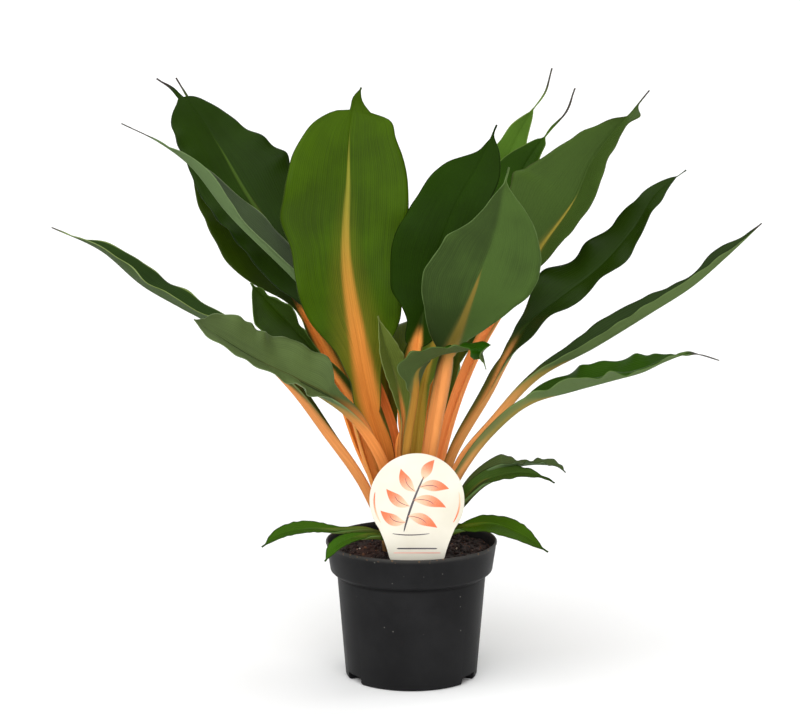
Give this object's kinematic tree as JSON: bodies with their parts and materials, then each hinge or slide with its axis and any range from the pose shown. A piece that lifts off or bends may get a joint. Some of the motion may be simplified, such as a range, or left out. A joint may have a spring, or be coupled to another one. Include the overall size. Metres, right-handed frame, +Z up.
{
  "type": "potted orange spider plant",
  "caption": "House plant with broad green leaves on orange stalks, standing in peat in a round black nursery pot with a round-headed white plant label.",
  "frame": {"origin": "middle of the pot's underside, on the surface that the pot stands on", "axes": "+Z up along the pot's axis, +X to the viewer's right across the spread of the leaves, +Y away from the side that the plant label faces"},
  "size_m": [0.4798, 0.2782, 0.4143],
  "materials": {
    "pot": "satin",
    "soil": "matte",
    "crown": "matte",
    "label": "satin",
    "leaf": "satin"
  },
  "bodies": {
    "root": {"pot": "pot", "soil": "soil", "crown": "crown", "plant_label": "label", "leaf_front_broad": "leaf", "leaf_left_high": "leaf", "leaf_left_folded": "leaf", "leaf_left_deep": "leaf", "leaf_left_far": "leaf", "leaf_left_low": "leaf", "leaf_left_cupped": "leaf", "leaf_centre_dark": "leaf", "leaf_right_front": "leaf", "leaf_right_back": "leaf", "leaf_back_pale": "leaf", "leaf_back_dark": "leaf", "leaf_right_wavy": "leaf", "leaf_right_narrow": "leaf", "leaf_right_drooping": "leaf", "leaf_small_right_upper": "leaf", "leaf_small_right_lower": "leaf", "leaf_rim_right": "leaf", "leaf_rim_left_long": "leaf", "leaf_rim_left_short": "leaf", "leaf_small_front": "leaf", "leaf_young": "leaf", "leaf_behind_left": "leaf", "leaf_behind_right": "leaf"}
  },
  "joints": []
}
